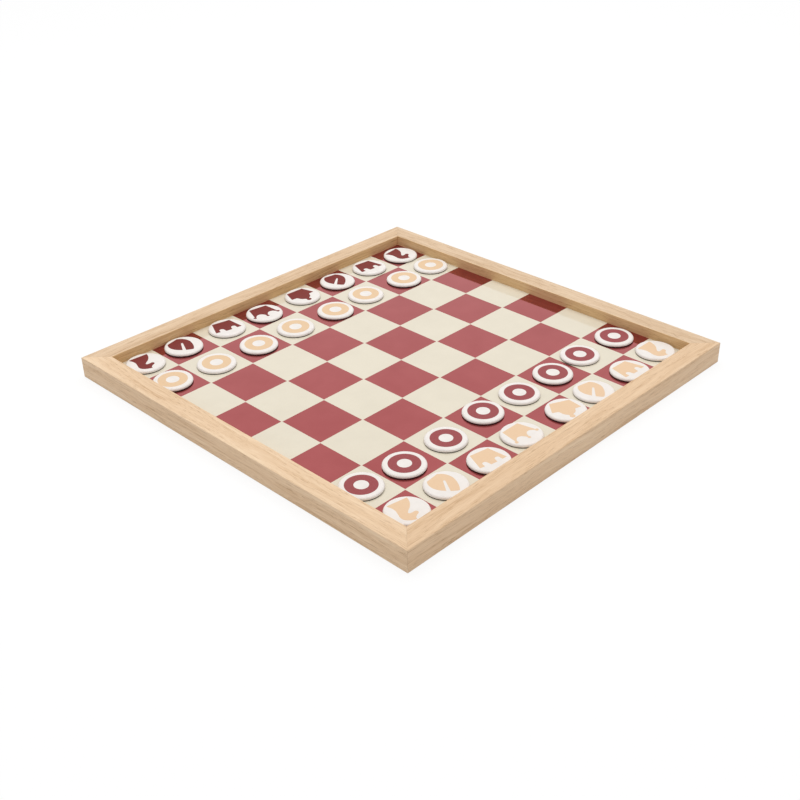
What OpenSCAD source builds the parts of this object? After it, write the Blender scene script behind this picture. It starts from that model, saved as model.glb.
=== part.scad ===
// Wall chessboard: a mitred oak frame round a sheet of enamelled steel, with 32 flat men that hold on by magnets.
// It lies face up on its back. +Y is the top edge as it hangs, and the origin is the middle of the back.

/* [Frame] */
// Outside length of each side of the frame
frame_side = 400; // [360:1:440]
// Width of a rail, seen from the front
rail_w = 19.3; // [18:0.1:26]
// Height of a rail, from the back to the rim
rail_h = 19.8; // [18:0.1:24]
// Height of the lip that stands in front of the board face
lip_h = 10; // [7:0.1:11]
// Round-over along the outer arris of the rim
outer_ease = 0.8; // [0.2:0.1:2]
// Round-over along the inner arris of the rim
inner_ease = 0.5; // [0.2:0.1:2]
// Round-over along the outer arris at the back
back_ease = 0.6; // [0.2:0.1:1.5]
// Glue line in each mitre
glue_line = 0.06; // [0.02:0.01:0.2]

/* [Board] */
// How far the lip covers each outer square
square_cover = 5.7; // [4:0.1:7]
// Cream line left between dark squares that meet at a corner
web = 0.7; // [0.3:0.1:2]
// Plain border of the board round the 64 squares
border = 0.4; // [0:0.1:1]
// Play between the board and the rebate, on each side
board_play = 0.6; // [0.2:0.1:1]
// Thickness of the enamel
enamel_t = 0.15; // [0.1:0.01:0.4]
// Thickness of the steel sheet
sheet_t = 0.8; // [0.5:0.1:1.2]
// Thickness of the backing board
backing_t = 4; // [3:0.5:5]
// Gap between a dark square and the cream round it
enamel_gap = 0.02; // [0.01:0.01:0.05]

/* [Men] */
// Room that a man leaves across its square
man_room = 11.4; // [10.6:0.1:16]
// Thickness of a cap
cap_t = 2.2; // [2.15:0.05:4]
// Round-over of a cap's upper rim
cap_ease = 1.8; // [0.4:0.1:1.8]
// Round-over of a cap's lower rim
cap_foot_ease = 0.25; // [0.1:0.05:0.3]
// Step in from a cap's edge to its magnet's
magnet_step = 0.3; // [0.1:0.05:3]
// Thickness of a magnet disc
magnet_t = 0.75; // [0.5:0.05:2]
// Glue line between a cap and its magnet
bond = 0.05; // [0.02:0.01:0.1]

/* [V-nails] */
// Height of a V-nail
nail_h = 7; // [5:0.5:10]
// Thickness of its strip
nail_t = 0.5; // [0.3:0.1:0.8]
// Length of each wing
nail_wing = 3.4; // [2:0.1:3.6]
// Length of the hook that ends a wing
nail_hook = 0.8; // [0.4:0.1:1]
// Angle between a wing and the mitre
nail_angle = 42; // [35:1:50]
// Angle that a hook turns from its wing
nail_hook_turn = 70; // [60:5:80]
// Distance of the first nail's bend from the two outer faces
nail_first = 3.2; // [2.5:0.1:4]
// Step from the first nail to the second, along each side
nail_step = 4; // [3:0.1:4.5]
// Depth that a nail is driven below the back
nail_sunk = 0.4; // [0.1:0.1:1]

/* [Retaining points] */
// Points along each side
point_count = 3; // [2:1:4]
// Distance of an end point from the board's corner
point_end = 76.8; // [40:0.1:90]
// Width of a point
point_w = 8; // [5:0.5:12]
// Thickness of a point
point_t = 0.5; // [0.3:0.1:0.8]
// Length pressed into the rail
point_in = 6.5; // [4:0.5:8]
// Length that stands over the backing board
point_out = 8; // [5:0.5:12]

/* [Hangers] */
// Distance from the top edge down to the middle of a hanger
hanger_drop = 50; // [45:1:70]
// Width of a keyhole plate
plate_w = 10; // [9.6:0.1:11]
// Length of a keyhole plate
plate_l = 38; // [36:1:44]
// Thickness of a keyhole plate
plate_t = 1.2; // [1:0.1:2]
// Diameter of the hole that takes the wall screw's head
key_d = 6.8; // [6:0.1:7]
// Width of the slot that holds the wall screw's neck
key_slot_w = 3.6; // [3:0.1:3.8]
// Rise of the slot above the middle of the hole
key_rise = 8.5; // [7:0.5:10]
// Width of the pocket that clears the wall screw's head
pocket_w = 8; // [7.4:0.1:8.6]
// Depth of that pocket behind the plate
pocket_h = 5; // [3:0.5:7]
// Distance of a fixing screw from the middle of the plate
screw_reach = 14.5; // [14:0.5:16]
// Diameter of a fixing screw's head
screw_head_d = 4.4; // [4:0.1:5]
// Diameter of its shank
screw_d = 2.2; // [2:0.1:3]
// Length of a fixing screw
screw_l = 11; // [8:0.5:14]
// Share of the shank's width left at the end of its point
screw_tip = 0.2; // [0.1:0.05:0.3]

/* [Fits] */
// Clearance round steel let into wood
steel_fit = 0.05; // [0.03:0.01:0.1]
// Clearance round a keyhole plate in its recess
plate_fit = 0.15; // [0.05:0.05:0.3]

/* [Hidden] */
$fn = 64;
eps = 1;

half = frame_side / 2;
opening = frame_side - 2 * rail_w;
cells = 8;
square = (opening + 2 * square_cover) / cells;
board_side = cells * square + 2 * border;
rebate_side = board_side + 2 * board_play;
rebate_w = (rebate_side - opening) / 2;
rebate_d = rail_h - lip_h;
land_w = rail_w - rebate_w;
face_z = rebate_d;
sheet_z = face_z - enamel_t - sheet_t;
backing_z = sheet_z - backing_t;
point_pitch = (board_side - 2 * point_end) / (point_count - 1);
hanger_x = half - land_w / 2;
hanger_y = half - hanger_drop;
key_y = -key_rise / 2;
cap_d = square - man_room;
magnet_d = cap_d - 2 * magnet_step;

oak = "burlywood";
cream = "ivory";
dark_red = "indianred";
steel = "silver";
fibreboard = "peru";
white = "white";
ferrite = "dimgray";

back_rank = [
    "knight_left", "rook_left", "bishop_left", "king",
    "queen", "rook_right", "bishop_right", "knight_right",
];
pawns = [for (i = [1:cells]) str("pawn_", i)];

// Each rank is its colour, its men from left to right, its row from the bottom, and how far each man stands
// off the middle of its square, as placed by hand.
ranks = [
    [
        "burgundy", back_rank, 0,
        [[3, 6.5], [0.5, 4.5], [-1.5, 4], [-1.5, 3.5], [1.5, 4.5], [-1.5, 2], [1, 1], [-3.5, 1.5]],
    ],
    [
        "peach", pawns, 1,
        [[1.5, 2], [-4, 3.5], [1, 1], [-2, 4], [1, 2.5], [-1, 2.5], [0.5, 2], [-1.5, -2]],
    ],
    [
        "burgundy", pawns, 6,
        [[4, -0.5], [6, -3], [1.5, -0.5], [0.5, -0.5], [-3, -3.5], [1, 1.5], [2, 2], [-2.5, -2]],
    ],
    [
        "peach", back_rank, 7,
        [[1, -5], [-0.5, -1], [2.5, -3], [-4.5, -2], [2, -5.5], [0.5, -1], [0.5, -3], [-3, -2]],
    ],
];

// The middle of a square, counted from the bottom left
function cell(column, row) = [(column - (cells - 1) / 2) * square, (row - (cells - 1) / 2) * square];

// Every man as its node's name and its place on the board
men = [
    for (rank = ranks, i = [0:cells - 1])
        [str(rank[0], "_", rank[1][i]), cell(i, rank[2]) + rank[3][i]]
];

frame_nodes = ["rail_bottom", "rail_right", "rail_top", "rail_left", "corner_v_nails"];
board_nodes = ["steel_sheet", "cream_enamel", "dark_squares", "backing_board", "retaining_points"];
hanger_nodes = ["hanger_left", "hanger_right", "hanger_screws"];

// What a round-over of radius r takes off a corner at the origin whose wood lies towards +X and +Y
module round_over(r) {
    difference() {
        translate([-eps, -eps]) square(r + eps);
        translate([r, r]) circle(r);
    }
}

// Cross-section of a rail: X runs in from the outer face, Y runs up from the back
module rail_section() {
    difference() {
        square([rail_w, rail_h]);
        translate([land_w, -eps]) square([rebate_w + eps, rebate_d + eps]);
        round_over(back_ease);
        translate([0, rail_h]) mirror([0, 1]) round_over(outer_ease);
        translate([rail_w, rail_h]) rotate(180) round_over(inner_ease);
    }
}

// Outline that a rail is mitred to, along the -Y side
module mitre_outline() {
    trim = glue_line / sqrt(2);
    inner = half - rail_w;
    polygon([
        [-half + trim, -half], [half - trim, -half],
        [inner - trim, -inner], [-inner + trim, -inner],
    ]);
}

// One rail along the -Y side, turned by quarter turns to its own side, with the slots for its nails and points
module rail(quarter) {
    rotate(90 * quarter)
        difference() {
            intersection() {
                translate([-half, -half, 0]) rotate([90, 0, 90]) linear_extrude(frame_side) rail_section();
                translate([0, 0, -eps]) linear_extrude(rail_h + 2 * eps) mitre_outline();
            }
            for (side = [0, 1]) mirror([side, 0, 0]) corner_nails(steel_fit);
            side_points(steel_fit);
        }
}

// Strip of a V-nail, seen from the back, with its bend at the origin and the mitre along +X
module nail_outline(grow) {
    thick = nail_t + 2 * grow;
    for (side = [0, 1])
        mirror([0, side])
            rotate(nail_angle) {
                translate([0, -thick / 2]) square([nail_wing + grow, thick]);
                translate([nail_wing, 0]) rotate(nail_hook_turn)
                    translate([0, -thick / 2]) square([nail_hook + grow, thick]);
            }
}

// The two V-nails of the bottom left corner, grown by a clearance to cut their slots
module corner_nails(grow) {
    start = grow > 0 ? -eps : nail_sunk;
    height = nail_sunk + nail_h + grow - start;
    for (i = [0, 1])
        translate([-half + nail_first + i * nail_step, -half + nail_first + i * nail_step, start])
            rotate(45) linear_extrude(height) nail_outline(grow);
}

// The retaining points of the -Y side, grown by a clearance to cut their slots
module side_points(grow) {
    z = backing_z - point_t;
    w = point_w / 2 + grow;
    shoulder = point_in / 2;
    for (i = [0:point_count - 1])
        translate([(i - (point_count - 1) / 2) * point_pitch, -half + land_w, z - grow])
            linear_extrude(point_t + 2 * grow)
                polygon([
                    [-w, point_out], [-w, -shoulder], [0, -point_in - grow],
                    [w, -shoulder], [w, point_out],
                ]);
}

// Outline of a keyhole plate, upright as it hangs
module plate_outline(grow) {
    r = plate_w / 2 + grow;
    reach = plate_l / 2 - plate_w / 2;
    square([2 * r, 2 * reach], center = true);
    for (end = [-1, 1]) translate([0, end * reach]) circle(r);
}

// Upright slot with a round hole at its foot, for a head of one width and a neck of another
module keyhole(hole_d, slot_w) {
    translate([0, key_y]) circle(d = hole_d);
    translate([-slot_w / 2, key_y]) square([slot_w, key_rise]);
    translate([0, key_y + key_rise]) circle(d = slot_w);
}

// Sets its children at both fixing screws of a hanger
module at_screws() {
    for (end = [-1, 1]) translate([0, end * screw_reach, 0]) children();
}

// Countersunk fixing screw, its head at the back, grown by a clearance to cut its hole
module fixing_screw(grow) {
    sunk = 0.1;
    head_h = (screw_head_d - screw_d) / 2;
    tip_h = screw_d;
    r = screw_d / 2 + grow;
    start = grow > 0 ? -eps : sunk;
    translate([0, 0, start]) cylinder(r = screw_head_d / 2 + grow, h = sunk - start + grow);
    translate([0, 0, sunk + grow]) cylinder(r1 = screw_head_d / 2 + grow, r2 = r, h = head_h);
    translate([0, 0, sunk]) cylinder(r = r, h = screw_l - tip_h);
    translate([0, 0, sunk + screw_l - tip_h]) cylinder(r1 = r, r2 = screw_tip * r, h = tip_h + grow);
}

// Recess, head pocket and pilot holes for one hanger, at the back of a side rail
module hanger_cut(side) {
    translate([side * hanger_x, hanger_y, 0]) {
        translate([0, 0, -eps]) linear_extrude(plate_t + eps) plate_outline(plate_fit);
        translate([0, 0, plate_t - eps]) linear_extrude(pocket_h + eps) keyhole(pocket_w, pocket_w);
        at_screws() fixing_screw(steel_fit);
    }
}

module hanger(side) {
    color(steel)
        translate([side * hanger_x, hanger_y, 0])
            difference() {
                linear_extrude(plate_t)
                    difference() {
                        plate_outline(0);
                        keyhole(key_d, key_slot_w);
                    }
                at_screws() fixing_screw(steel_fit);
            }
}

module hanger_screws() {
    color(steel)
        for (side = [-1, 1]) translate([side * hanger_x, hanger_y, 0]) at_screws() fixing_screw(0);
}

module rail_bottom() {
    color(oak) rail(0);
}

module rail_right() {
    color(oak)
        difference() {
            rail(1);
            hanger_cut(1);
        }
}

module rail_top() {
    color(oak) rail(2);
}

module rail_left() {
    color(oak)
        difference() {
            rail(3);
            hanger_cut(-1);
        }
}

module corner_v_nails() {
    color(steel)
        for (quarter = [0:3]) rotate(90 * quarter) corner_nails(0);
}

module retaining_points() {
    color(steel)
        for (quarter = [0:3]) rotate(90 * quarter) side_points(0);
}

// Flat square panel of the board's stack
module panel(z, thickness) {
    translate([-board_side / 2, -board_side / 2, z]) cube([board_side, board_side, thickness]);
}

// The dark squares, grown by a clearance to cut their windows in the cream
module chequer(grow) {
    side = square - web + 2 * grow;
    for (column = [0:cells - 1], row = [0:cells - 1])
        if ((column + row) % 2 == 0) translate(cell(column, row)) square(side, center = true);
}

module steel_sheet() {
    color(steel) panel(sheet_z, sheet_t);
}

module cream_enamel() {
    color(cream)
        difference() {
            panel(face_z - enamel_t, enamel_t);
            translate([0, 0, face_z - enamel_t - eps]) linear_extrude(enamel_t + 2 * eps) chequer(enamel_gap);
        }
}

module dark_squares() {
    color(dark_red) translate([0, 0, face_z - enamel_t]) linear_extrude(enamel_t) chequer(0);
}

module backing_board() {
    color(fibreboard) panel(backing_z, backing_t);
}

// Half section of a cap: a disc with a pillowed upper rim
module cap_section() {
    r = cap_d / 2;
    difference() {
        square([r, cap_t]);
        translate([r, cap_t]) rotate(180) round_over(cap_ease);
        translate([r, 0]) mirror([1, 0]) round_over(cap_foot_ease);
    }
}

// One man: a white cap on its magnet disc
module chessman(place) {
    translate([place[0], place[1], face_z]) {
        color(ferrite) cylinder(d = magnet_d, h = magnet_t);
        color(white) translate([0, 0, magnet_t + bond]) rotate_extrude() cap_section();
    }
}

rail_bottom();
rail_right();
rail_top();
rail_left();
corner_v_nails();
steel_sheet();
cream_enamel();
dark_squares();
backing_board();
retaining_points();
hanger(-1);  // hanger_left
hanger(1);  // hanger_right
hanger_screws();
for (man = men) chessman(man[1]);
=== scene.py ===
"""Wall chessboard: an oak frame round a glossy enamelled board, with 32 flat men that hold on by magnets."""

import logging
import math
from dataclasses import dataclass
from enum import Enum
from typing import Any

import bmesh
import bpy
from mathutils import Matrix, Vector
from mathutils.geometry import tessellate_polygon


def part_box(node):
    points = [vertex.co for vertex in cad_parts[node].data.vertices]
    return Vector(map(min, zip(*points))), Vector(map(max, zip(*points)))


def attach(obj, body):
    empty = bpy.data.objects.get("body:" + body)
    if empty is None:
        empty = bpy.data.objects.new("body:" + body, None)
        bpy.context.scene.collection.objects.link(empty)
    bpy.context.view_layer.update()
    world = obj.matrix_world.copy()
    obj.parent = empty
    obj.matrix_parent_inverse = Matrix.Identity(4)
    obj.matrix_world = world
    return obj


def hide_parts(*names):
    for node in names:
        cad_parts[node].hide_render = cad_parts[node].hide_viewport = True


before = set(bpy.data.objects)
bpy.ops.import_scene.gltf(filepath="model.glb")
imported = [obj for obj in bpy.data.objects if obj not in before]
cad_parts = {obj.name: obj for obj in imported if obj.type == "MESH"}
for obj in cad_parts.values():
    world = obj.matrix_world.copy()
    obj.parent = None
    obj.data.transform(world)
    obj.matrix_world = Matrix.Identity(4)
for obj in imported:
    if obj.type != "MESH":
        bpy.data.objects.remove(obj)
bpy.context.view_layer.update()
MM = 0.001
WHITE = "#FFFFFF"
# The way that a pattern's shift moves it along X, Y and Z.
SHIFT_WAY = (1.0, 0.7, 1.3)
LOG = logging.getLogger("chessboard")

Point = tuple[float, float]
Outline = list[Point]
Place = tuple[float, float, float]
Cell = tuple[float, float, float]
Stops = tuple[tuple[float, str], ...]
Material = bpy.types.Material
Socket = bpy.types.NodeSocket


def linear(code: str) -> tuple[float, float, float, float]:
    """Turns an sRGB hex colour to linear light.

    Args:
        code: Six hex digits, with or without a leading hash.

    Returns:
        Red, green, blue and an alpha of 1.
    """
    code = code.lstrip("#")
    parts = [int(code[i:i + 2], 16) / 255 for i in (0, 2, 4)]
    red, green, blue = (v / 12.92 if v <= 0.04045 else ((v + 0.055) / 1.055) ** 2.4 for v in parts)
    return red, green, blue, 1.0


def add_node(
    material: Material | bpy.types.World,
    kind: str,
    settings: dict[str | int, Any] | None = None,
    links: dict[str | int, Socket] | None = None,
    stops: Stops = (),
) -> bpy.types.Node:
    """Adds one shader node with its settings and its links.

    Args:
        material: The material or world whose node tree takes the node.
        kind: Blender's name for the node type.
        settings: Values by property name, or by the name or number of an input.
        links: Output sockets by the name or number of the input that each one feeds.
        stops: Places and hex colours of a colour ramp.

    Returns:
        The new node.
    """
    node = material.node_tree.nodes.new(kind)
    for key, value in (settings or {}).items():
        if isinstance(key, str) and hasattr(node, key):
            setattr(node, key, value)
        else:
            node.inputs[key].default_value = value
    for key, socket in (links or {}).items():
        material.node_tree.links.new(socket, node.inputs[key])
    if stops:
        ramp = node.color_ramp.elements
        while len(ramp) < len(stops):
            ramp.new(1.0)
        for element, (place, code) in zip(ramp, stops):
            element.position, element.color = place, linear(code)
    return node


def new_material(name: str) -> Material:
    """Makes an empty node material that holds only its output.

    Args:
        name: What the finish is.

    Returns:
        The material, with an output node named "Material Output".
    """
    material = bpy.data.materials.new(name)
    material.use_nodes = True
    material.node_tree.nodes.clear()
    material.node_tree.nodes.new("ShaderNodeOutputMaterial")
    return material


def show_surface(material: Material, shader: bpy.types.Node) -> Material:
    """Joins a shader to the material's output.

    Args:
        material: The material to finish.
        shader: The node whose first output is its surface.

    Returns:
        The finished material.
    """
    output = material.node_tree.nodes["Material Output"]
    material.node_tree.links.new(shader.outputs[0], output.inputs["Surface"])
    return material


def scaled_place(
    material: Material, cell_mm: Cell, shift: float = 0.0, source: Socket | None = None
) -> Socket:
    """Gives the place on the object in cells of a pattern.

    Args:
        material: The material that uses the pattern.
        cell_mm: Size of one cell along X, Y and Z, in millimetres.
        shift: Offset in cells, so that two pieces don't show the same part of a pattern.
        source: Place to scale, if it isn't the plain place on the object.

    Returns:
        The socket that carries the scaled place.
    """
    mapping = add_node(
        material, "ShaderNodeMapping",
        {
            "Location": tuple(shift * part for part in SHIFT_WAY),
            "Scale": tuple(1 / (size * MM) for size in cell_mm),
        },
        {"Vector": source or add_node(material, "ShaderNodeTexCoord").outputs["Object"]},
    )
    return mapping.outputs["Vector"]


def seen_rays(material: Material | bpy.types.World) -> Socket:
    """Tells the rays that show a surface from those that only carry its light.

    Args:
        material: The material or world that asks.

    Returns:
        A socket that is 1 for a ray to the eye, straight, mirrored or through something clear, and else 0.
    """
    path = add_node(material, "ShaderNodeLightPath")
    seen = path.outputs["Is Camera Ray"]
    for kind in ("Is Glossy Ray", "Is Transmission Ray"):
        either = add_node(
            material, "ShaderNodeMath", {"operation": "MAXIMUM"}, {0: seen, 1: path.outputs[kind]}
        )
        seen = either.outputs["Value"]
    return seen


class Grain(Enum):
    """The way a rail's grain runs."""

    ALONG_X = (1, 0)
    ALONG_Y = (0, 1)


@dataclass(frozen=True)
class Streak:
    """A pattern in timber: its size across the rings, within them and along the rail, and its shift."""

    across_mm: float
    within_mm: float
    along_mm: float
    shift: float
    detail: float = 2.0


@dataclass(frozen=True)
class OiledOak:
    """White oak, planed, sanded and oiled.

    Its growth rings are sheets that run along the rail and lie tilted in its section. They show as fine lines
    on the sides, and as broader waves on the face.
    """

    name: str
    grain: Grain
    seed: float
    tint: str
    lip_face_mm: float
    tilt: float = 28.0
    band: Streak = Streak(7.0, 14.0, 196.0, shift=0.0)
    ring: Streak = Streak(1.35, 8.0, 74.25, shift=3.0, detail=3.0)
    # Real fibres and pores are finer than this: they are drawn as coarse as they need to show.
    fibre: Streak = Streak(0.5, 0.5, 22.5, shift=4.0)
    pore: Streak = Streak(0.45, 0.45, 9.9, shift=5.0)
    drift: Streak = Streak(16.0, 16.0, 85.0, shift=7.0, detail=1.0)
    wander_mm: float = 9.0
    tones: Stops = ((0.335, "#C8A27B"), (0.425, "#E0BF9A"), (0.522, "#EACBA8"), (0.645, "#F3D8B7"))
    pore_colour: str = "#A9835E"
    # Painted shade: a browner colour multiplied onto the wall inside the lip, and how far it fades out from
    # that wall.
    lip_shade: str = "#FFF5DA"
    lip_shade_fade_mm: tuple[float, float] = (0.1, 0.5)

    def cell(self, streak: Streak) -> Cell:
        """Gives a pattern's size along X, Y and Z."""
        across, within, along = streak.across_mm, streak.within_mm, streak.along_mm
        return (along, within, across) if self.grain is Grain.ALONG_X else (within, along, across)

    def timber_place(self, oak: Material) -> Socket:
        """Gives the place in the timber, with Z across the growth rings.

        Args:
            oak: The material that uses it.

        Returns:
            The place, tilted in the rail's section and set wandering a little along it.
        """
        plain = add_node(oak, "ShaderNodeTexCoord").outputs["Object"]
        drift = add_node(
            oak, "ShaderNodeTexNoise", {"Scale": 1.0, "Detail": self.drift.detail},
            {"Vector": scaled_place(oak, self.cell(self.drift), self.seed + self.drift.shift, plain)},
        )
        moved = add_node(
            oak, "ShaderNodeVectorMath", {"operation": "MULTIPLY_ADD", 1: (self.wander_mm * MM,) * 3},
            {0: drift.outputs["Color"], 2: plain},
        )
        turn = math.radians(self.tilt)
        along_x, along_y = self.grain.value
        tilted = add_node(
            oak, "ShaderNodeMapping", {"Rotation": (turn * along_x, turn * along_y, 0)},
            {"Vector": moved.outputs[0]},
        )
        return tilted.outputs["Vector"]

    def streaks(self, oak: Material, streak: Streak, timber: Socket) -> Socket:
        """Draws one pattern of streaks along the timber.

        Args:
            oak: The material that shows it.
            streak: The pattern.
            timber: The place in the timber.

        Returns:
            The pattern, from 0 to 1.
        """
        noise = add_node(
            oak, "ShaderNodeTexNoise", {"Scale": 1.0, "Detail": streak.detail, "Roughness": 0.6},
            {"Vector": scaled_place(oak, self.cell(streak), self.seed + streak.shift, timber)},
        )
        return noise.outputs["Fac"]

    def flecks(self, oak: Material, pores: Socket, rings: Socket) -> Socket:
        """Keeps the pores that lie in the early wood, which is the darker part of each ring.

        Args:
            oak: The material that shows them.
            pores: Short streaks.
            rings: The growth rings.

        Returns:
            How much of the pores' colour shows.
        """
        depth = add_node(
            oak, "ShaderNodeMapRange", {"From Min": 0.53, "From Max": 0.66, "To Min": 0.0, "To Max": 0.6},
            {"Value": pores},
        )
        early = add_node(
            oak, "ShaderNodeMapRange", {"From Min": 0.58, "From Max": 0.42, "To Min": 0.2, "To Max": 1.0},
            {"Value": rings},
        )
        fleck = add_node(
            oak, "ShaderNodeMath", {"operation": "MULTIPLY"},
            {0: depth.outputs["Result"], 1: early.outputs["Result"]},
        )
        return fleck.outputs["Value"]

    def lip_shade_mask(self, oak: Material) -> Socket:
        """Finds the wall inside the lip, where the painted shade goes.

        Args:
            oak: The material that asks.

        Returns:
            A socket that is 1 on the wall and 0 elsewhere.
        """
        plain = add_node(oak, "ShaderNodeTexCoord").outputs["Object"]
        axes = add_node(oak, "ShaderNodeSeparateXYZ", links={"Vector": plain})
        across = axes.outputs["Y" if self.grain is Grain.ALONG_X else "X"]
        distance = add_node(oak, "ShaderNodeMath", {"operation": "ABSOLUTE"}, {0: across})
        near, far = ((self.lip_face_mm + fade) * MM for fade in self.lip_shade_fade_mm)
        wall = add_node(
            oak, "ShaderNodeMapRange", {"From Min": far, "From Max": near},
            {"Value": distance.outputs["Value"]},
        )
        return wall.outputs["Result"]

    def colour(self, oak: Material, bands: Socket, rings: Socket, fibres: Socket, fleck: Socket) -> Socket:
        """Colours the timber by its patterns.

        Args:
            oak: The material that shows it.
            bands: The slow drift of tone.
            rings: The growth rings.
            fibres: The fine streaks.
            fleck: How much of the pores' colour shows.

        Returns:
            The colour, with painted shade that makes the wall inside the lip browner.
        """
        figure = add_node(
            oak, "ShaderNodeMix", {"data_type": "FLOAT", "Factor": 0.5}, {2: bands, 3: rings}
        )
        tone = add_node(
            oak, "ShaderNodeMix", {"data_type": "FLOAT", "Factor": 0.3}, {2: figure.outputs[0], 3: fibres}
        )
        wood = add_node(oak, "ShaderNodeValToRGB", links={"Fac": tone.outputs[0]}, stops=self.tones)
        colour = add_node(
            oak, "ShaderNodeMix", {"data_type": "RGBA", 7: linear(self.pore_colour)},
            {0: fleck, 6: wood.outputs["Color"]},
        )
        # Painted shade: the wall inside the lip is multiplied by a browner colour that stands in for the
        # shade falling there.
        for code, share in ((self.lip_shade, self.lip_shade_mask(oak)), (self.tint, None)):
            colour = add_node(
                oak, "ShaderNodeMix",
                {"data_type": "RGBA", "blend_type": "MULTIPLY", 0: 1.0, 7: linear(code)},
                {6: colour.outputs[2]} | ({0: share} if share else {}),
            )
        return colour.outputs[2]

    def build(self) -> Material:
        """Builds the material.

        Returns:
            Oak with a drift of tone, growth rings, fine fibres and open pores that all run along the rail.
        """
        # Bands give the drift of tone, rings the figure, fibres a silky streak and pores short dark flecks.
        oak = new_material(self.name)
        timber = self.timber_place(oak)
        bands = self.streaks(oak, self.band, timber)
        rings = self.streaks(oak, self.ring, timber)
        fibres = self.streaks(oak, self.fibre, timber)
        fleck = self.flecks(oak, self.streaks(oak, self.pore, timber), rings)
        sheen = add_node(
            oak, "ShaderNodeMapRange", {"From Min": 0.3, "From Max": 0.7, "To Min": 0.62, "To Max": 0.48},
            {"Value": rings},
        )
        relief = add_node(oak, "ShaderNodeMath", {"operation": "SUBTRACT"}, {0: fibres, 1: fleck})
        bump = add_node(
            oak, "ShaderNodeBump", {"Strength": 0.35, "Distance": 0.1 * MM},
            {"Height": relief.outputs["Value"]},
        )
        shader = add_node(
            oak, "ShaderNodeBsdfPrincipled", {"IOR": 1.5, "Specular IOR Level": 0.35},
            {
                "Base Color": self.colour(oak, bands, rings, fibres, fleck),
                "Roughness": sheen.outputs["Result"],
                "Normal": bump.outputs["Normal"],
            },
        )
        return show_surface(oak, shader)


@dataclass(frozen=True)
class FiredEnamel:
    """Vitreous enamel, sprayed and fired on steel."""

    name: str
    light: str
    deep: str
    cloud_mm: float = 26.0
    peel_mm: float = 3.2
    roughness: tuple[float, float] = (0.035, 0.075)
    metallic: float = 0.0

    def build(self) -> Material:
        """Builds the material.

        Returns:
            A glassy coat that mirrors the rails and the men.
        """
        # The clouds give a faint drift of tone, and the peel is the slow ripple of fired glass.
        enamel = new_material(self.name)
        cloud = add_node(
            enamel, "ShaderNodeTexNoise", {"Scale": 1.0, "Detail": 3.0, "Roughness": 0.6},
            {"Vector": scaled_place(enamel, (self.cloud_mm,) * 3)},
        )
        colour = add_node(
            enamel, "ShaderNodeValToRGB", links={"Fac": cloud.outputs["Fac"]},
            stops=((0.3, self.deep), (0.7, self.light)),
        )
        gloss = add_node(
            enamel, "ShaderNodeMapRange",
            {"From Min": 0.35, "From Max": 0.65, "To Min": self.roughness[0], "To Max": self.roughness[1]},
            {"Value": cloud.outputs["Fac"]},
        )
        peel = add_node(
            enamel, "ShaderNodeTexNoise", {"Scale": 1.0, "Detail": 1.0},
            {"Vector": scaled_place(enamel, (self.peel_mm,) * 3, 1.0)},
        )
        bump = add_node(
            enamel, "ShaderNodeBump", {"Strength": 0.05, "Distance": 0.04 * MM},
            {"Height": peel.outputs["Fac"]},
        )
        shader = add_node(
            enamel, "ShaderNodeBsdfPrincipled", {"IOR": 1.55, "Metallic": self.metallic},
            {
                "Base Color": colour.outputs["Color"],
                "Roughness": gloss.outputs["Result"],
                "Normal": bump.outputs["Normal"],
            },
        )
        return show_surface(enamel, shader)


@dataclass(frozen=True)
class PlatedSteel:
    """Mild steel, stamped and zinc plated, or left as rolled."""

    name: str
    bright: str
    dull: str
    grain_mm: Cell
    roughness: tuple[float, float]

    def build(self) -> Material:
        """Builds the material.

        Returns:
            A grey metal with a broken shine.
        """
        # The metal catches the light unevenly, by its rolling marks or by the spangle of its plating.
        steel = new_material(self.name)
        marks = add_node(
            steel, "ShaderNodeTexNoise", {"Scale": 1.0, "Detail": 5.0, "Roughness": 0.65},
            {"Vector": scaled_place(steel, self.grain_mm)},
        )
        colour = add_node(
            steel, "ShaderNodeValToRGB", links={"Fac": marks.outputs["Fac"]},
            stops=((0.35, self.dull), (0.65, self.bright)),
        )
        gloss = add_node(
            steel, "ShaderNodeMapRange",
            {"From Min": 0.3, "From Max": 0.7, "To Min": self.roughness[0], "To Max": self.roughness[1]},
            {"Value": marks.outputs["Fac"]},
        )
        bump = add_node(
            steel, "ShaderNodeBump", {"Strength": 0.2, "Distance": 0.03 * MM},
            {"Height": marks.outputs["Fac"]},
        )
        shader = add_node(
            steel, "ShaderNodeBsdfPrincipled", {"Metallic": 1.0},
            {
                "Base Color": colour.outputs["Color"],
                "Roughness": gloss.outputs["Result"],
                "Normal": bump.outputs["Normal"],
            },
        )
        return show_surface(steel, shader)


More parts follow.
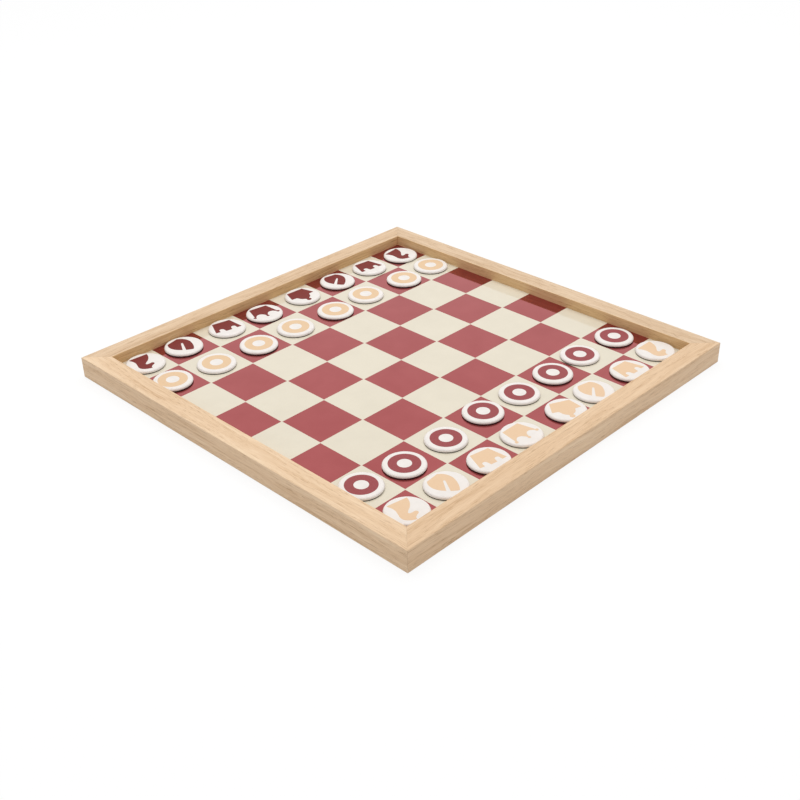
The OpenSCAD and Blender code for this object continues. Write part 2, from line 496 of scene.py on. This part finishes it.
@dataclass(frozen=True)
class Hardboard:
    """Brown hardboard, pressed from wood fibre."""

    name: str = "pressed hardboard"
    fibre_mm: float = 1.4
    patch_mm: float = 40.0
    tones: Stops = ((0.32, "#7A5637"), (0.5, "#8F6843"), (0.68, "#A27B55"))

    def build(self) -> Material:
        """Builds the material.

        Returns:
            A dull brown sheet.
        """
        # The fibres fleck it, and patches of the pulp shift its tone.
        sheet = new_material(self.name)
        fibre = add_node(
            sheet, "ShaderNodeTexNoise",
            {"Scale": 1.0, "Detail": 6.0, "Roughness": 0.7, "Distortion": 1.2},
            {"Vector": scaled_place(sheet, (self.fibre_mm,) * 3)},
        )
        patch = add_node(
            sheet, "ShaderNodeTexNoise", {"Scale": 1.0, "Detail": 2.0},
            {"Vector": scaled_place(sheet, (self.patch_mm,) * 3, 2.0)},
        )
        tone = add_node(
            sheet, "ShaderNodeMix", {"data_type": "FLOAT", "Factor": 0.35},
            {2: fibre.outputs["Fac"], 3: patch.outputs["Fac"]},
        )
        colour = add_node(sheet, "ShaderNodeValToRGB", links={"Fac": tone.outputs[0]}, stops=self.tones)
        bump = add_node(
            sheet, "ShaderNodeBump", {"Strength": 0.5, "Distance": 0.2 * MM},
            {"Height": fibre.outputs["Fac"]},
        )
        shader = add_node(
            sheet, "ShaderNodeBsdfPrincipled", {"Roughness": 0.78, "IOR": 1.5, "Specular IOR Level": 0.3},
            {"Base Color": colour.outputs["Color"], "Normal": bump.outputs["Normal"]},
        )
        return show_surface(sheet, shader)


@dataclass(frozen=True)
class MouldedPlastic:
    """White ABS, injection moulded with a satin face."""

    name: str = "white moulded ABS"
    light: str = "#F0EAE5"
    shade: str = "#EAE4DE"
    # The real spark marks are finer: they are drawn as coarse as they need to show.
    spark_mm: float = 0.5
    handled_mm: float = 12.0
    roughness: tuple[float, float] = (0.3, 0.42)

    def build(self) -> Material:
        """Builds the material.

        Returns:
            A clean white with soft highlights.
        """
        # Marks of the spark-eroded mould soften the highlights, and handling has polished some places.
        plastic = new_material(self.name)
        spark = add_node(
            plastic, "ShaderNodeTexNoise", {"Scale": 1.0, "Detail": 2.0},
            {"Vector": scaled_place(plastic, (self.spark_mm,) * 3)},
        )
        handled = add_node(
            plastic, "ShaderNodeTexNoise", {"Scale": 1.0, "Detail": 3.0},
            {"Vector": scaled_place(plastic, (self.handled_mm,) * 3, 1.5)},
        )
        colour = add_node(
            plastic, "ShaderNodeValToRGB", links={"Fac": handled.outputs["Fac"]},
            stops=((0.3, self.shade), (0.6, self.light)),
        )
        gloss = add_node(
            plastic, "ShaderNodeMapRange",
            {"From Min": 0.3, "From Max": 0.7, "To Min": self.roughness[0], "To Max": self.roughness[1]},
            {"Value": handled.outputs["Fac"]},
        )
        bump = add_node(
            plastic, "ShaderNodeBump", {"Strength": 0.12, "Distance": 0.02 * MM},
            {"Height": spark.outputs["Fac"]},
        )
        shader = add_node(
            plastic, "ShaderNodeBsdfPrincipled", {"IOR": 1.53},
            {
                "Base Color": colour.outputs["Color"],
                "Roughness": gloss.outputs["Result"],
                "Normal": bump.outputs["Normal"],
            },
        )
        return show_surface(plastic, shader)


@dataclass(frozen=True)
class PrintedInk:
    """Pad-printed ink on plastic."""

    name: str
    full: str
    thin: str
    shine: float = 0.3
    mottle_mm: float = 1.1

    def build(self) -> Material:
        """Builds the material.

        Returns:
            A flat satin colour.
        """
        # The mottle is where the pad lifted and left the ink a little thinner.
        ink = new_material(self.name)
        mottle = add_node(
            ink, "ShaderNodeTexNoise", {"Scale": 1.0, "Detail": 4.0, "Roughness": 0.6},
            {"Vector": scaled_place(ink, (self.mottle_mm,) * 3)},
        )
        colour = add_node(
            ink, "ShaderNodeValToRGB", links={"Fac": mottle.outputs["Fac"]},
            stops=((0.35, self.full), (0.75, self.thin)),
        )
        bump = add_node(
            ink, "ShaderNodeBump", {"Strength": 0.1, "Distance": 0.01 * MM},
            {"Height": mottle.outputs["Fac"]},
        )
        shader = add_node(
            ink, "ShaderNodeBsdfPrincipled", {"Roughness": 0.5, "IOR": 1.5, "Specular IOR Level": self.shine},
            {"Base Color": colour.outputs["Color"], "Normal": bump.outputs["Normal"]},
        )
        return show_surface(ink, shader)


@dataclass(frozen=True)
class BondedFerrite:
    """Ferrite powder bonded in a thin sheet."""

    name: str = "bonded ferrite"
    dark: str = "#2E2B2A"
    light: str = "#45413E"
    # The real powder is finer: its grit is drawn as coarse as it needs to show.
    grit_mm: float = 0.4

    def build(self) -> Material:
        """Builds the material.

        Returns:
            A charcoal sheet.
        """
        # The grit of the powder gives it a dry face.
        ferrite = new_material(self.name)
        grit = add_node(
            ferrite, "ShaderNodeTexNoise", {"Scale": 1.0, "Detail": 5.0, "Roughness": 0.7},
            {"Vector": scaled_place(ferrite, (self.grit_mm,) * 3)},
        )
        colour = add_node(
            ferrite, "ShaderNodeValToRGB", links={"Fac": grit.outputs["Fac"]},
            stops=((0.35, self.dark), (0.7, self.light)),
        )
        bump = add_node(
            ferrite, "ShaderNodeBump", {"Strength": 0.3, "Distance": 0.04 * MM},
            {"Height": grit.outputs["Fac"]},
        )
        shader = add_node(
            ferrite, "ShaderNodeBsdfPrincipled", {"Roughness": 0.6, "IOR": 1.5},
            {"Base Color": colour.outputs["Color"], "Normal": bump.outputs["Normal"]},
        )
        return show_surface(ferrite, shader)


@dataclass(frozen=True)
class StudioPaper:
    """Matt background paper, rolled out flat."""

    name: str = "pale studio floor"
    colour: str = "#E7E7E7"
    own_white: float = 0.86
    waves_across: float = 900.0

    def build(self) -> Material:
        """Builds the material.

        Returns:
            A white sheet on which only a light shadow shows.
        """
        # Most of the white that the eye sees is the sheet's own, and its slow waves break up the rest.
        paper = new_material(self.name)
        waves = add_node(paper, "ShaderNodeTexNoise", {"Scale": self.waves_across, "Detail": 2.0})
        bump = add_node(
            paper, "ShaderNodeBump", {"Strength": 0.02, "Distance": 0.1 * MM},
            {"Height": waves.outputs["Fac"]},
        )
        seen = seen_rays(paper)
        tone = add_node(
            paper, "ShaderNodeMix", {"data_type": "RGBA", 6: linear(self.colour), 7: linear(WHITE)}, {0: seen}
        )
        matt = add_node(
            paper, "ShaderNodeBsdfDiffuse", links={"Color": tone.outputs[2], "Normal": bump.outputs["Normal"]}
        )
        white = add_node(paper, "ShaderNodeEmission", {"Color": linear(WHITE), "Strength": 1.0})
        share = add_node(paper, "ShaderNodeMath", {"operation": "MULTIPLY", 1: self.own_white}, {0: seen})
        blend = add_node(
            paper, "ShaderNodeMixShader",
            links={"Fac": share.outputs["Value"], 1: matt.outputs[0], 2: white.outputs[0]},
        )
        return show_surface(paper, blend)


def dress(node: str, finish: Material) -> None:
    """Gives a CAD node its finish.

    Args:
        node: The CAD node's name.
        finish: The finish for all of it.
    """
    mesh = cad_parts[node].data
    mesh.materials.clear()
    mesh.materials.append(finish)


def turn_round(
    bm: bmesh.types.BMesh, section: Outline, segments: int, middle: Point = (0.0, 0.0), slot: int = 0
) -> list[list[bmesh.types.BMVert]]:
    """Turns a section round an upright axis and leaves both ends open.

    Args:
        bm: The mesh that takes the turned form.
        section: Radius and height of each ring, in millimetres.
        segments: Points in each ring.
        middle: Where the axis stands, in millimetres.
        slot: Material slot of the faces.

    Returns:
        The rings, in the section's order.
    """
    turns = [2 * math.pi * i / segments for i in range(segments)]
    rings = []
    for radius, height in section:
        around = [(middle[0] + radius * math.cos(a), middle[1] + radius * math.sin(a), height) for a in turns]
        rings.append([bm.verts.new(Vector(place) * MM) for place in around])
    for low, high in zip(rings, rings[1:]):
        for i in range(segments):
            j = (i + 1) % segments
            face = bm.faces.new((low[i], low[j], high[j], high[i]))
            face.material_index, face.smooth = slot, True
    return rings


def new_piece(name: str, bm: bmesh.types.BMesh, finishes: tuple[Material, ...]) -> bpy.types.Object:
    """Turns a finished mesh into a piece of the scene.

    Args:
        name: The piece's name.
        bm: Its mesh, which this frees.
        finishes: Its materials, in the order of its slots.

    Returns:
        The piece, at the origin.
    """
    bmesh.ops.recalc_face_normals(bm, faces=bm.faces)
    mesh = bpy.data.meshes.new(name)
    bm.to_mesh(mesh)
    bm.free()
    for finish in finishes:
        mesh.materials.append(finish)
    piece = bpy.data.objects.new(name, mesh)
    bpy.context.scene.collection.objects.link(piece)
    return piece


@dataclass(frozen=True)
class Rail:
    """One rail: its CAD node, the way its grain runs and the tone of its timber."""

    node: str
    grain: Grain
    tint: str


@dataclass
class OakFrame:
    """Four mitred oak rails, each cut from its own length."""

    rails: tuple[Rail, ...] = (
        Rail("rail_bottom", Grain.ALONG_X, "#F4F4F5"),
        Rail("rail_right", Grain.ALONG_Y, "#FFFFFF"),
        Rail("rail_top", Grain.ALONG_X, "#FAF8F6"),
        Rail("rail_left", Grain.ALONG_Y, "#F3F5F8"),
    )
    first_seed: float = 0.6
    seed_step: float = 1.9

    def build(self) -> list[str]:
        """Dresses each rail in its own run of oak.

        Returns:
            The rails' names.
        """
        # All four inner walls stand as far from the middle as that of the bottom rail.
        lip_face = -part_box("rail_bottom")[1][1] / MM
        for number, rail in enumerate(self.rails):
            seed = self.seed_step * number + self.first_seed
            oak = OiledOak(f"oiled oak {rail.node}", rail.grain, seed, rail.tint, lip_face)
            dress(rail.node, oak.build())
        return [rail.node for rail in self.rails]


@dataclass
class BoardStack:
    """Enamelled steel sheet and the board behind it."""

    cream: FiredEnamel = FiredEnamel("cream enamel", "#E4DBC7", "#DFD6C2")
    # The burgundy is a clear coat over a bright ground, so it mirrors in its own colour.
    dark: FiredEnamel = FiredEnamel("burgundy enamel", "#B15A5B", "#AB5455", metallic=0.9)
    steel: PlatedSteel = PlatedSteel("cold rolled steel", "#C0C1C4", "#A9ABAF", (30, 1.2, 5), (0.3, 0.45))
    backing: Hardboard = Hardboard()

    def build(self) -> list[str]:
        """Dresses the enamel, the sheet and the backing board.

        Returns:
            The names of the dressed nodes.
        """
        finishes = {
            "cream_enamel": self.cream,
            "dark_squares": self.dark,
            "steel_sheet": self.steel,
            "backing_board": self.backing,
        }
        for node, finish in finishes.items():
            dress(node, finish.build())
        return list(finishes)


@dataclass
class Hardware:
    """Nails, points, hanger plates and the screws that fix them, with sizes in millimetres."""

    zinc: PlatedSteel = PlatedSteel("zinc plated steel", "#CDD0D4", "#AEB2B8", (2.5, 2.5, 2.5), (0.24, 0.4))
    parts: tuple[str, ...] = ("corner_v_nails", "retaining_points", "hanger_left", "hanger_right")
    hangers: tuple[str, ...] = ("hanger_left", "hanger_right")
    # From the middle of a hanger plate to each of its two screws.
    screw_reach: float = 14.5
    head_d: float = 4.4
    shank_d: float = 2.2
    length: float = 11.0
    sunk: float = 0.1
    neck: float = 0.6
    pitch: float = 1.0
    # Radii as shares of the shank's, and heights in a turn of thread as shares of the pitch.
    core_share: float = 0.72
    tip_share: float = 0.2
    root_share: float = 0.45
    crest_share: float = 0.7
    recess_arm: float = 1.25
    recess_w: float = 0.5
    recess_depth: float = 0.9
    recess_taper: float = 0.55
    segments: int = 32

    def build(self) -> list[str]:
        """Dresses the steel parts and sets the fixing screws in place of their CAD node.

        Returns:
            The names of the dressed nodes and of the screws.
        """
        zinc = self.zinc.build()
        for part in self.parts:
            dress(part, zinc)
        bm = bmesh.new()
        for hanger in self.hangers:
            low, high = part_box(hanger)
            across, along = ((low[i] + high[i]) / 2 / MM for i in (0, 1))
            for end in (-1, 1):
                self.screw(bm, (across, along + end * self.screw_reach))
        piece = new_piece("hanger_fixing_screws", bm, (zinc,))
        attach(piece, "board")
        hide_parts("hanger_screws")
        return [*self.parts, piece.name]

    def screw(self, bm: bmesh.types.BMesh, middle: Point) -> None:
        """Adds one countersunk screw, its head at the back.

        Args:
            bm: The mesh that takes it.
            middle: Where its axis stands, in millimetres.
        """
        rings = turn_round(bm, self.section(), self.segments, middle)
        bm.faces.new(rings[-1])
        mouth = self.cross(bm, middle, 1.0, self.sunk)
        floor = self.cross(bm, middle, self.recess_taper, self.recess_depth)
        edge = [*rings[0], *mouth]
        for triangle in tessellate_polygon([[v.co for v in rings[0]], [v.co for v in mouth]]):
            bm.faces.new([edge[i] for i in triangle])
        for i in range(len(mouth)):
            j = (i + 1) % len(mouth)
            bm.faces.new((mouth[i], mouth[j], floor[j], floor[i]))
        bm.faces.new(floor)

    def section(self) -> Outline:
        """Draws the screw's section from its head to its tip.

        Returns:
            Radius and height above the frame's back.
        """
        head, crest = self.head_d / 2, self.shank_d / 2
        core = self.core_share * crest
        cone = self.sunk + head - crest
        out = [(head, self.sunk), (crest, cone), (crest, cone + self.neck)]
        turn = cone + self.pitch
        while turn < self.sunk + self.length - self.shank_d - self.pitch:
            out.append((core, turn))
            out.append((core, turn + self.root_share * self.pitch))
            out.append((crest, turn + self.crest_share * self.pitch))
            turn += self.pitch
        return [*out, (core, turn), (self.tip_share * crest, self.sunk + self.length)]

    def cross(
        self, bm: bmesh.types.BMesh, middle: Point, share: float, height: float
    ) -> list[bmesh.types.BMVert]:
        """Adds the outline of the cross recess.

        Args:
            bm: The screw's mesh.
            middle: Where the screw's axis stands.
            share: Size of the outline, where 1 is its mouth.
            height: Height of the outline above the frame's back.

        Returns:
            Its twelve points in order.
        """
        arm, half = share * self.recess_arm, share * self.recess_w / 2
        quarter = [(arm, -half), (arm, half), (half, half)]
        out: Outline = []
        for _ in range(4):
            out += quarter
            quarter = [(-y, x) for x, y in quarter]
        return [bm.verts.new(Vector((middle[0] + x, middle[1] + y, height)) * MM) for x, y in out]


def arc(centre: Point, radius: float, start: float, end: float, count: int) -> Outline:
    """Gives points along an arc.

    Args:
        centre: Middle of the arc.
        radius: Its radius.
        start: Angle of its first point, in degrees from +X.
        end: Angle of its last point.
        count: Number of steps.

    Returns:
        The points, both ends among them.
    """
    steps = [math.radians(start + (end - start) * i / count) for i in range(count + 1)]
    return [(centre[0] + radius * math.cos(a), centre[1] + radius * math.sin(a)) for a in steps]


def circle(radius: float, count: int) -> Outline:
    """Gives evenly spaced points on a circle round the middle, each of them once."""
    return arc((0, 0), radius, 0, 360 - 360 / count, count - 1)


def between(before: float, start: float, end: float, after: float, share: float) -> float:
    """Gives one coordinate of a smooth curve on a stretch between two of its points.

    Args:
        before: The coordinate of the point before the stretch.
        start: The coordinate where the stretch starts.
        end: The coordinate where it ends.
        after: The coordinate of the point after it.
        share: How far along the stretch, from 0 to 1.

    Returns:
        The coordinate at that share.
    """
    bend = 2 * before - 5 * start + 4 * end - after
    swing = 3 * start - before - 3 * end + after
    return 0.5 * (2 * start + (end - before) * share + bend * share * share + swing * share ** 3)


def curve_through(points: Outline, steps: int = 6) -> Outline:
    """Draws a smooth open curve through points.

    Args:
        points: The points that it passes through.
        steps: Pieces between one point and the next.

    Returns:
        Points along the curve, both ends among them.
    """
    padded = [points[0], *points, points[-1]]
    out: Outline = []
    for stretch in zip(padded, padded[1:], padded[2:], padded[3:]):
        for i in range(steps):
            out.append(tuple(between(*values, i / steps) for values in zip(*stretch)))
    return [*out, points[-1]]


def mirrored(points: Outline) -> Outline:
    """Gives an outline's other half, in the order that goes on from it."""
    return [(-x, y) for x, y in reversed(points)]


class Sign(Enum):
    """What is printed on a man."""

    PAWN = "pawn"
    KNIGHT = "knight"
    ROOK = "rook"
    BISHOP = "bishop"
    QUEEN = "queen"
    KING = "king"


@dataclass(frozen=True)
class SignWriter:
    """Draws the traditional chess signs, in millimetres about the middle of a cap."""

    ring_outer: float = 13.0
    ring_inner: float = 5.85
    crown_foot: float = 9.3
    slit_root: Point = (-2.3, -3.2)
    slit_root_w: float = 1.8
    slit_mouth_w: float = 3.1
    slit_turn: float = 40.0

    def draw(self, sign: Sign) -> list[Outline]:
        """Draws one sign.

        Args:
            sign: Which sign to draw.

        Returns:
            Its outline, then its holes.
        """
        return {
            Sign.PAWN: self.pawn,
            Sign.KNIGHT: self.knight,
            Sign.ROOK: self.rook,
            Sign.BISHOP: self.bishop,
            Sign.QUEEN: self.queen,
            Sign.KING: self.king,
        }[sign]()

    def pawn(self) -> list[Outline]:
        """Draws a plain ring."""
        return [circle(self.ring_outer, 72), circle(self.ring_inner, 48)]

    def knight(self) -> list[Outline]:
        """Draws a horse's head that looks left, with one ear, a mouth and a flared foot.

        Returns:
            One outline.
        """
        crest = curve_through([
            (1.6, 12.9), (4.8, 11.6), (8.0, 8.8), (9.0, 5.0),
            (7.9, 0.2), (7.0, -4.2), (7.6, -8.4), (8.9, -11.2),
        ])
        foot = (8.9, -12.4)
        chest = curve_through([
            (-9.2, -12.4), (-8.7, -9.6), (-7.0, -5.6), (-4.2, -1.8), (-1.0, 0.9), (1.0, 3.0),
        ])
        jaw = curve_through([(1.0, 3.0), (0.6, 4.4), (-2.0, 4.7)], 3)
        mouth: Outline = [(-4.2, 4.3), (-5.3, 4.9)]
        muzzle = curve_through([(-5.9, 6.1), (-5.2, 7.7), (-2.9, 9.0), (-0.9, 10.5), (-0.1, 12.0)])
        ear: Outline = [(0.1, 13.7), (1.0, 12.9)]
        return [[*crest, foot, *chest, *jaw[1:], *mouth, *muzzle, *ear]]

    def rook(self) -> list[Outline]:
        """Draws a tower's head with three merlons, wider at the top.

        Returns:
            One outline.
        """
        notch = curve_through([(8.5, 5.2), (8.2, 2.4), (7.1, 1.1), (5.2, 1.1), (3.9, 2.4), (3.3, 5.2)], 4)
        right: Outline = [(9.0, -12.1), (13.2, 5.7), (8.7, 5.9), *notch, (3.0, 6.6)]
        return [[*right, *mirrored(right)]]

    def bishop(self) -> list[Outline]:
        """Draws a mitre with a slit that runs in from its upper right and widens on the way out.

        Returns:
            One outline.
        """
        right = curve_through([
            (6.3, -13.0), (8.9, -9.8), (10.3, -5.4), (9.9, -0.6), (7.7, 4.2), (4.6, 8.6), (1.2, 12.0),
        ], 10)
        whole = [*right, (0.0, 12.6), *mirrored(right)]
        turn = math.radians(self.slit_turn)
        ahead, aside = (math.sin(turn), math.cos(turn)), (math.cos(turn), -math.sin(turn))
        root, half, mouth = self.slit_root, self.slit_root_w / 2, self.slit_mouth_w / 2

        def at(along: float, across: float) -> Point:
            """Gives a point by its place along and across the slit."""
            return tuple(r + along * u + across * v for r, u, v in zip(root, ahead, aside))

        def split(point: Point) -> Point:
            """Gives a point's place along and across the slit."""
            dx, dy = point[0] - root[0], point[1] - root[1]
            return dx * ahead[0] + dy * ahead[1], dx * aside[0] + dy * aside[1]

        cut = [i for i, point in enumerate(whole) if split(point)[0] > 0 and abs(split(point)[1]) < mouth]
        reach = sum(split(whole[i])[0] for i in cut) / len(cut)
        angles = [math.radians(a) for a in range(0, 181, 20)]
        end = [at(-math.sin(a) * half, math.cos(a) * half) for a in angles]
        return [[*whole[:cut[0]], at(reach, mouth), *end, at(reach, -mouth), *whole[cut[-1] + 1:]]]

    def queen(self) -> list[Outline]:
        """Draws a crown of three points with a ball on each.

        Returns:
            One outline.
        """
        side: Outline = [(self.crown_foot, -12.0), (12.4, 4.0)]
        tip = arc((12.6, 5.4), 1.6, -55, 215, 10)
        scallop = curve_through([(10.6, 4.0), (8.6, 2.0), (5.8, 1.4), (3.2, 2.6), (1.6, 4.8), (0.9, 6.7)], 5)
        ball = arc((0.0, 7.9), 1.45, -50, 230, 12)
        right = [*side, *tip, *scallop]
        return [[*right, *ball, *mirrored(right)]]

    def king(self) -> list[Outline]:
        """Draws a closed crown with a dome and a ball.

        Returns:
            One outline.
        """
        side: Outline = [(self.crown_foot, -12.1), (13.4, 1.3)]
        dome = curve_through([(7.8, 1.8), (6.8, 3.4), (6.1, 5.3), (4.6, 7.2), (2.6, 8.6), (1.8, 9.5)], 5)
        ball = arc((0.0, 11.4), 2.4, -48, 228, 16)
        right = [*side, *dome]
        return [[*right, *ball, *mirrored(right)]]


@dataclass(frozen=True)
class Side:
    """One side: how each figure of its rank is turned, how far off centre they are printed, and its inks."""

    name: str
    turns: tuple[float, ...]
    slip: Point
    figure_ink: PrintedInk
    ring_ink: PrintedInk


@dataclass(frozen=True)
class Man:
    """One man: its side's name, its node, its sign, and how the sign is turned and slipped off centre."""

    side: str
    node: str
    sign: Sign
    turn: float = 0.0
    slip: Point = (0.0, 0.0)


@dataclass
class Chessmen:
    """Thirty-two flat men, each a printed cap on a magnet disc, with sizes in millimetres."""

    magnet_t: float = 0.75
    magnet_step: float = 0.3
    magnet_ease: float = 0.1
    bond: float = 0.05
    cap_ease: float = 1.8
    foot_ease: float = 0.25
    ink_t: float = 0.03
    segments: int = 96
    pawns: int = 8
    plastic: MouldedPlastic = MouldedPlastic()
    ferrite: BondedFerrite = BondedFerrite()
    sides: tuple[Side, ...] = (
        Side(
            "burgundy", (-7, 6, 10, 3, 9, 12, -13, 4), (0.7, 0.0),
            PrintedInk("burgundy figure ink", "#7B3430", "#803B37", shine=0.1),
            PrintedInk("burgundy ring ink", "#964446", "#9B4D50"),
        ),
        Side(
            "peach", (0, 2, 12, 25, 0, 10, -6, 10), (0.35, 0.0),
            PrintedInk("peach figure ink", "#E8C6A2", "#EACBA9"),
            PrintedInk("peach ring ink", "#E5C39C", "#E7C9A6"),
        ),
    )
    rank: tuple[tuple[str, Sign], ...] = (
        ("knight_left", Sign.KNIGHT),
        ("rook_left", Sign.ROOK),
        ("bishop_left", Sign.BISHOP),
        ("king", Sign.KING),
        ("queen", Sign.QUEEN),
        ("rook_right", Sign.ROOK),
        ("bishop_right", Sign.BISHOP),
        ("knight_right", Sign.KNIGHT),
    )

    def build(self) -> list[str]:
        """Builds every man in place of its CAD node, each side's figures before its pawns.

        Returns:
            The names of the men's pieces.
        """
        plastic, ferrite = self.plastic.build(), self.ferrite.build()
        pieces = []
        for side in self.sides:
            figure_ink, ring_ink = side.figure_ink.build(), side.ring_ink.build()
            for (name, sign), turn in zip(self.rank, side.turns):
                man = Man(side.name, f"{side.name}_{name}", sign, turn, side.slip)
                pieces.append(self.build_man(man, (plastic, ferrite, figure_ink)))
            for number in range(1, self.pawns + 1):
                man = Man(side.name, f"{side.name}_pawn_{number}", Sign.PAWN)
                pieces.append(self.build_man(man, (plastic, ferrite, ring_ink)))
        return pieces

    def build_man(self, man: Man, finishes: tuple[Material, ...]) -> str:
        """Builds one man where its CAD node lies.

        Args:
            man: The man.
            finishes: The finishes of its cap, its magnet and its print.

        Returns:
            The piece's name.
        """
        low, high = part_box(man.node)
        radius, top = (high[0] - low[0]) / 2 / MM, (high[2] - low[2]) / MM
        cap, magnet, ink = range(len(finishes))
        bm = bmesh.new()
        for section, slot in ((self.magnet_section(radius), magnet), (self.cap_section(radius, top), cap)):
            rings = turn_round(bm, section, self.segments, slot=slot)
            for face in (bm.faces.new(reversed(rings[0])), bm.faces.new(rings[-1])):
                face.material_index = slot
        self.print_sign(bm, man, top, ink)
        piece = new_piece(f"man_{man.node}", bm, finishes)
        piece.location = ((low[0] + high[0]) / 2, (low[1] + high[1]) / 2, low[2])
        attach(piece, man.node)
        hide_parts(man.node)
        return piece.name

    def magnet_section(self, radius: float) -> Outline:
        """Gives the section of the magnet under a cap of this radius, with both arrises broken."""
        r, e, t = radius - self.magnet_step, self.magnet_ease, self.magnet_t
        return [(r - e, 0), (r, e), (r, t - e), (r - e, t)]

    def cap_section(self, radius: float, top: float) -> Outline:
        """Gives the cap's section, with a rounded foot and a pillowed rim.

        Args:
            radius: The cap's radius.
            top: Height of its face.

        Returns:
            Radius and height, from its foot to its face.
        """
        low = self.magnet_t + self.bond
        foot = arc((radius - self.foot_ease, low + self.foot_ease), self.foot_ease, -90, 0, 3)
        rim = arc((radius - self.cap_ease, top - self.cap_ease), self.cap_ease, 0, 90, 10)
        return [*foot, *rim]

    def print_sign(self, bm: bmesh.types.BMesh, man: Man, height: float, slot: int) -> None:
        """Lays a man's sign on its cap as a thin film.

        Args:
            bm: The man's mesh.
            man: The man.
            height: Height of the cap's face.
            slot: Material slot of the ink.
        """
        place = Matrix.Translation((*man.slip, 0)) @ Matrix.Rotation(math.radians(-man.turn), 4, "Z")
        loops = [[place @ Vector((x, y, 0)) for x, y in loop] for loop in SignWriter().draw(man.sign)]
        flat = [p for loop in loops for p in loop]
        top = [bm.verts.new((p.x * MM, p.y * MM, (height + self.ink_t) * MM)) for p in flat]
        low = [bm.verts.new((p.x * MM, p.y * MM, height * MM)) for p in flat]
        faces = [bm.faces.new([top[i] for i in triangle]) for triangle in tessellate_polygon(loops)]
        start = 0
        for loop in loops:
            for i in range(len(loop)):
                a, b = start + i, start + (i + 1) % len(loop)
                faces.append(bm.faces.new((low[a], low[b], top[b], top[a])))
            start += len(loop)
        for face in faces:
            face.material_index = slot


@dataclass
class Studio:
    """Plain pale floor, soft light and the camera, in metres, degrees and watts."""

    lens_mm: float = 51.642
    sensor_mm: float = 36.0
    azimuth: float = 134.839
    elevation: float = 31.083
    roll: float = -1.256
    distance: float = 0.96115
    target: Place = (0.05035, 0.04741, 0.0098)
    paper: StudioPaper = StudioPaper()
    floor_side: float = 12.0
    floor_drop: float = 0.0002
    sky_power: float = 0.6
    lamp_power: float = 39.0
    lamp_side: float = 2.2
    lamp_place: Place = (-0.35, -0.35, 2.5)

    def build(self) -> list[str]:
        """Sets up the light, the floor and the camera.

        Returns:
            The names of the floor, the lamp and the camera.
        """
        # Standard shows colours as they are written.
        bpy.context.scene.view_settings.view_transform = "Standard"
        self.sky()
        return [self.floor(), self.lamp(), self.camera()]

    def sky(self) -> None:
        """Lights the scene from all round and shows plain white behind it."""
        world = bpy.data.worlds.new("white studio")
        world.use_nodes = True
        world.node_tree.nodes.clear()
        power = add_node(
            world, "ShaderNodeMapRange", {"To Min": self.sky_power, "To Max": 1.0},
            {"Value": seen_rays(world)},
        )
        light = add_node(
            world, "ShaderNodeBackground", {"Color": linear(WHITE)}, {"Strength": power.outputs["Result"]}
        )
        output = add_node(world, "ShaderNodeOutputWorld", links={"Surface": light.outputs["Background"]})
        output.is_active_output = True
        bpy.context.scene.world = world

    def floor(self) -> str:
        """Lays a pale floor that meets the white behind it and keeps the object's shadow.

        Returns:
            Its name.
        """
        bpy.ops.mesh.primitive_plane_add(size=self.floor_side, location=(0, 0, -self.floor_drop))
        plane = bpy.context.object
        plane.name = "studio_floor"
        plane.data.materials.append(self.paper.build())
        return plane.name

    def lamp(self) -> str:
        """Hangs one square softbox that faces straight down.

        Returns:
            Its name.
        """
        data = bpy.data.lights.new("overhead softbox", "AREA")
        data.shape, data.size, data.energy = "SQUARE", self.lamp_side, self.lamp_power
        lamp = bpy.data.objects.new("overhead softbox", data)
        bpy.context.scene.collection.objects.link(lamp)
        lamp.location = self.lamp_place
        # The glossy board mirrors the white room and not the lamp, so its colours hold from every side.
        lamp.visible_glossy = False
        return lamp.name

    def camera(self) -> str:
        """Stands the camera where the board's proportions in the photograph put it.

        Returns:
            Its name.
        """
        azimuth, elevation, roll = (math.radians(v) for v in (self.azimuth, self.elevation, self.roll))
        level = math.cos(elevation)
        back = Vector((math.sin(azimuth) * level, -math.cos(azimuth) * level, math.sin(elevation)))
        right = (-back).cross(Vector((0, 0, 1))).normalized()
        up = right.cross(-back)
        across = math.cos(roll) * right + math.sin(roll) * up
        upright = -math.sin(roll) * right + math.cos(roll) * up
        data = bpy.data.cameras.new("camera")
        data.lens, data.sensor_width = self.lens_mm, self.sensor_mm
        camera = bpy.data.objects.new("camera", data)
        bpy.context.scene.collection.objects.link(camera)
        turn = Matrix((across, upright, back)).transposed().to_4x4()
        camera.matrix_world = Matrix.Translation(Vector(self.target) + back * self.distance) @ turn
        bpy.context.scene.camera = camera
        return camera.name


def main() -> None:
    """Builds and dresses the chessboard in its studio."""
    logging.basicConfig(level=logging.INFO, format="%(name)s: %(message)s")
    for part in (Studio(), OakFrame(), BoardStack(), Hardware(), Chessmen()):
        for piece in part.build():
            LOG.info("%s: %s is ready", type(part).__name__, piece)


if __name__ == "__main__":
    main()
